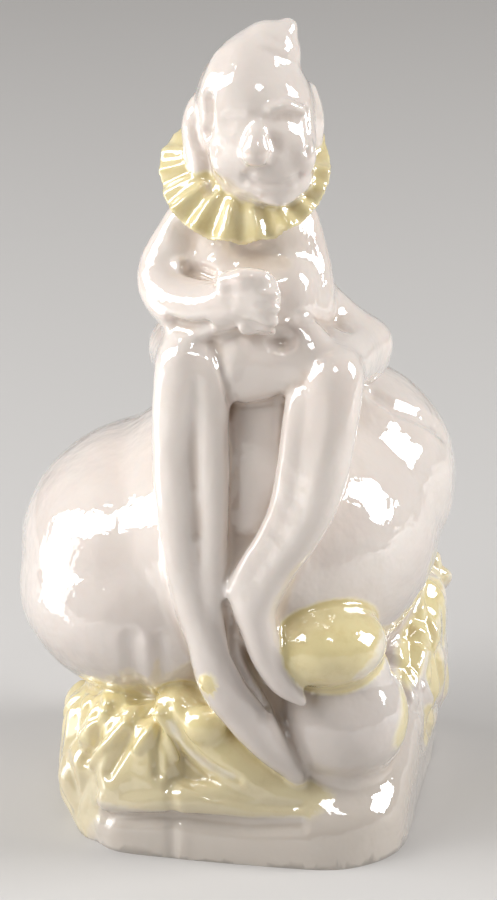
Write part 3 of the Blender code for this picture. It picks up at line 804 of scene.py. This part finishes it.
print("glaze")
glaze = {
    # the brown is a painted shade for hollows and crevices
    "ivory": (0.83, 0.755, 0.695, 1), "blush": (0.79, 0.70, 0.64, 1), "paintedShadeColour": (0.40, 0.26, 0.15, 1),
    # these two make the glaze darker and greyer towards the bottom
    "lowTone": (0.62, 0.56, 0.52, 1), "foot": (0.50, 0.44, 0.36, 1),
    "lustre": (0.78, 0.67, 0.36, 1), "lustreThin": (0.83, 0.755, 0.57, 1),
    # the dark lustre colour: streaks in the lustre, and painted shade in its hollows and crevices
    "lustreStreaksAndShade": (0.52, 0.38, 0.13, 1),
    "roughness": 0.035, "lustreRoughness": 0.075, "subsurface": 0.12, "depth": 0.0025, "gloss": 1.75,
    "rippleStrength": 0.85, "rippleHeight": 0.0005,
}


def makeGlaze(g):
    made = bpy.data.materials.new("glazedPorcelain")
    made.use_nodes = True
    nodes, links = made.node_tree.nodes, made.node_tree.links
    shader = nodes["Principled BSDF"]

    def node(kind, **settings):
        item = nodes.new(kind)
        for name, value in settings.items():
            setattr(item, name, value)
        return item

    def noiseField(scale, detail, rough):
        item = node("ShaderNodeTexNoise")
        item.inputs["Scale"].default_value = scale
        item.inputs["Detail"].default_value = detail
        item.inputs["Roughness"].default_value = rough
        links.new(place.outputs["Object"], item.inputs["Vector"])
        return item

    def mapRange(source, low, high, toLow=0.0, toHigh=1.0):
        item = node("ShaderNodeMapRange", interpolation_type="SMOOTHSTEP")
        links.new(source, item.inputs["Value"])
        for socket, value in (("From Min", low), ("From Max", high), ("To Min", toLow), ("To Max", toHigh)):
            item.inputs[socket].default_value = value
        return item.outputs["Result"]

    def mixColour(factor, a, b):
        item = node("ShaderNodeMix", data_type="RGBA")
        links.new(factor, item.inputs["Factor"])
        for socket, value in (("A", a), ("B", b)):
            entry = [s for s in item.inputs if s.name == socket and s.type == "RGBA"][0]
            if isinstance(value, tuple):
                entry.default_value = value
            else:
                links.new(value, entry)
        return [s for s in item.outputs if s.type == "RGBA"][0]

    def maths(kind, a, b):
        item = node("ShaderNodeMath", operation=kind)
        for socket, value in zip(item.inputs, (a, b)):
            if isinstance(value, (int, float)):
                socket.default_value = value
            else:
                links.new(value, socket)
        return item.outputs[0]

    place = node("ShaderNodeTexCoord")
    lustreLayer = node("ShaderNodeAttribute", attribute_name="lustre")
    hollowLayer = node("ShaderNodeAttribute", attribute_name="hollow")
    creviceLayer = node("ShaderNodeAttribute", attribute_name="crevice")
    brushed = noiseField(260, 5, 0.62)
    cloud = noiseField(60, 3, 0.5)
    drift = maths("MULTIPLY", maths("SUBTRACT", brushed.outputs["Fac"], 0.5), 0.55)
    mask = mapRange(maths("ADD", lustreLayer.outputs["Fac"], drift), 0.12, 0.62)
    full = mapRange(maths("ADD", lustreLayer.outputs["Fac"], drift), 0.45, 0.85)
    # painted shade: hollows and crevices, where less light reaches, are painted brown
    deep = mapRange(hollowLayer.outputs["Fac"], 0.60, 0.98)
    shut = mapRange(creviceLayer.outputs["Fac"], 0.44, 0.90)
    shadeSum = maths("ADD", maths("MULTIPLY", deep, 0.35), maths("MULTIPLY", shut, 0.70))
    paintedShade = maths("MINIMUM", shadeSum, 0.85)
    base = mixColour(mapRange(cloud.outputs["Fac"], 0.35, 0.7), g["ivory"], g["blush"])
    height = node("ShaderNodeSeparateXYZ")
    links.new(place.outputs["Object"], height.inputs["Vector"])
    # darker and greyer towards the bottom
    base = mixColour(mapRange(height.outputs["Z"], 0.018, 0.066, 0.85, 0.0), base, g["lowTone"])
    # the painted shade laid over the glaze
    base = mixColour(paintedShade, base, g["paintedShadeColour"])
    wash = mixColour(full, g["lustreThin"], g["lustre"])
    # the lustre goes darker along brushed streaks and, as painted shade, in hollows and crevices
    streak = maths("MULTIPLY", mapRange(brushed.outputs["Fac"], 0.45, 0.78), 0.35)
    wash = mixColour(maths("MAXIMUM", streak, maths("MULTIPLY", paintedShade, 0.9)), wash, g["lustreStreaksAndShade"])
    # darker still near the very bottom
    nearBottom = mapRange(height.outputs["Z"], 0.006, 0.024, 0.55, 0.0)
    links.new(mixColour(nearBottom, mixColour(mask, base, wash), g["foot"]), shader.inputs["Base Color"])
    rough = maths("ADD", g["roughness"], maths("MULTIPLY", mask, g["lustreRoughness"] - g["roughness"]))
    links.new(rough, shader.inputs["Roughness"])
    ripple = noiseField(150, 3, 0.5)
    skin = noiseField(1100, 2, 0.5)
    relief = maths("ADD", ripple.outputs["Fac"], maths("MULTIPLY", skin.outputs["Fac"], 0.02))
    bump = node("ShaderNodeBump")
    bump.inputs["Strength"].default_value = g["rippleStrength"]
    bump.inputs["Distance"].default_value = g["rippleHeight"]
    links.new(relief, bump.inputs["Height"])
    links.new(bump.outputs["Normal"], shader.inputs["Normal"])
    shader.inputs["Subsurface Weight"].default_value = g["subsurface"]
    shader.inputs["Subsurface Scale"].default_value = g["depth"]
    shader.inputs["Subsurface Radius"].default_value = (1.0, 0.6, 0.4)
    shader.inputs["IOR"].default_value = 1.6
    shader.inputs["Coat Weight"].default_value = 1.0
    shader.inputs["Coat IOR"].default_value = g["gloss"]
    shader.inputs["Coat Roughness"].default_value = 0.015
    links.new(bump.outputs["Normal"], shader.inputs["Coat Normal"])
    return made


clay.data.materials.clear()
clay.data.materials.append(makeGlaze(glaze))
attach(clay, "root")
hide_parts("figurine")

print("studio")
studio = {
    # the far paper colour is painted light, paler to make up for less lamp light there
    "paperNear": (0.58, 0.565, 0.55, 1), "paperFarPaintedLight": (0.68, 0.655, 0.63, 1), "near": 0.10, "far": 0.90,
    "leftBox": {
        "azimuth": -77, "elevation": 29, "roll": -40, "distance": 720, "size": (270, 780), "power": 5.0},
    "rightBox": {
        "azimuth": 99, "elevation": 25, "roll": 14, "distance": 820, "size": (290, 420), "power": 5.6},
    "frontBox": {
        "azimuth": 22, "elevation": 50, "roll": 45, "distance": 900, "size": (110, 150), "power": 0.45},
    "softBox": {
        "azimuth": -42, "elevation": 24, "roll": 0, "distance": 1000, "size": (600, 600), "power": 3.4},
    "leftCard": {
        "azimuth": -80, "elevation": -6, "roll": 0, "distance": 165, "size": (80, 84), "power": 0.045},
    "sky": (0.80, 0.79, 0.785, 1), "skyFront": 0.15, "skyBack": 0.50,
}


def makeFloor(s):
    # a flat sheet of paper, painted paler far behind as painted light, where less light reaches it
    clearSelection()
    bpy.ops.mesh.primitive_plane_add(size=6.0, location=(0, 0, 0))
    made = bpy.context.object
    made.name = "studioFloor"
    paper = bpy.data.materials.new("palePaper")
    paper.use_nodes = True
    nodes, links = paper.node_tree.nodes, paper.node_tree.links
    shader = nodes["Principled BSDF"]
    shader.inputs["Roughness"].default_value = 0.7
    place = nodes.new("ShaderNodeTexCoord")
    axes = nodes.new("ShaderNodeSeparateXYZ")
    links.new(place.outputs["Object"], axes.inputs["Vector"])
    fall = nodes.new("ShaderNodeMapRange")
    fall.interpolation_type = "SMOOTHSTEP"
    fall.inputs["From Min"].default_value = s["near"]
    fall.inputs["From Max"].default_value = s["far"]
    links.new(axes.outputs["Y"], fall.inputs["Value"])
    shade = nodes.new("ShaderNodeMix")
    shade.data_type = "RGBA"
    links.new(fall.outputs["Result"], shade.inputs[0])
    shade.inputs[6].default_value = s["paperNear"]   # the mix node's first colour
    shade.inputs[7].default_value = s["paperFarPaintedLight"]    # and its second
    links.new(shade.outputs[2], shader.inputs["Base Color"])
    made.data.materials.append(paper)


def makeBox(name, b):
    a, e = math.radians(b["azimuth"]), math.radians(b["elevation"])
    back = Vector((math.sin(a) * math.cos(e), -math.cos(a) * math.cos(e), math.sin(e)))
    bpy.ops.object.light_add(type="AREA", location=(Vector((0, 0, 60)) + back * b["distance"]) * mm)
    made = bpy.context.object
    made.name = name
    turn = back.to_track_quat("Z", "Y") @ Quaternion((0, 0, 1), math.radians(b["roll"]))
    made.rotation_euler = turn.to_euler()
    made.data.shape = "RECTANGLE"
    made.data.size, made.data.size_y = b["size"][0] * mm, b["size"][1] * mm
    made.data.energy = b["power"]
    made.visible_camera = False
    return made


makeFloor(studio)
for lamp in ("leftBox", "rightBox", "frontBox"):
    makeBox(lamp, studio[lamp])
makeBox("leftCard", studio["leftCard"]).visible_diffuse = False   # only its reflection is wanted
makeBox("softBox", studio["softBox"]).visible_glossy = False      # and of this only the light


def makeSky(s):
    # the room is dim on the camera's side and light behind
    sky = bpy.data.worlds.new("studioSky")
    bpy.context.scene.world = sky
    sky.use_nodes = True
    nodes, links = sky.node_tree.nodes, sky.node_tree.links
    nodes["Background"].inputs["Color"].default_value = s["sky"]
    place = nodes.new("ShaderNodeTexCoord")
    axes = nodes.new("ShaderNodeSeparateXYZ")
    fade = nodes.new("ShaderNodeMapRange")
    links.new(place.outputs["Generated"], axes.inputs["Vector"])
    links.new(axes.outputs["Y"], fade.inputs["Value"])
    ramp = {"From Min": -0.9, "From Max": 0.9, "To Min": s["skyFront"], "To Max": s["skyBack"]}
    for socket, value in ramp.items():
        fade.inputs[socket].default_value = value
    links.new(fade.outputs["Result"], nodes["Background"].inputs["Strength"])


makeSky(studio)
bpy.context.scene.view_settings.view_transform = "Standard"

print("done")
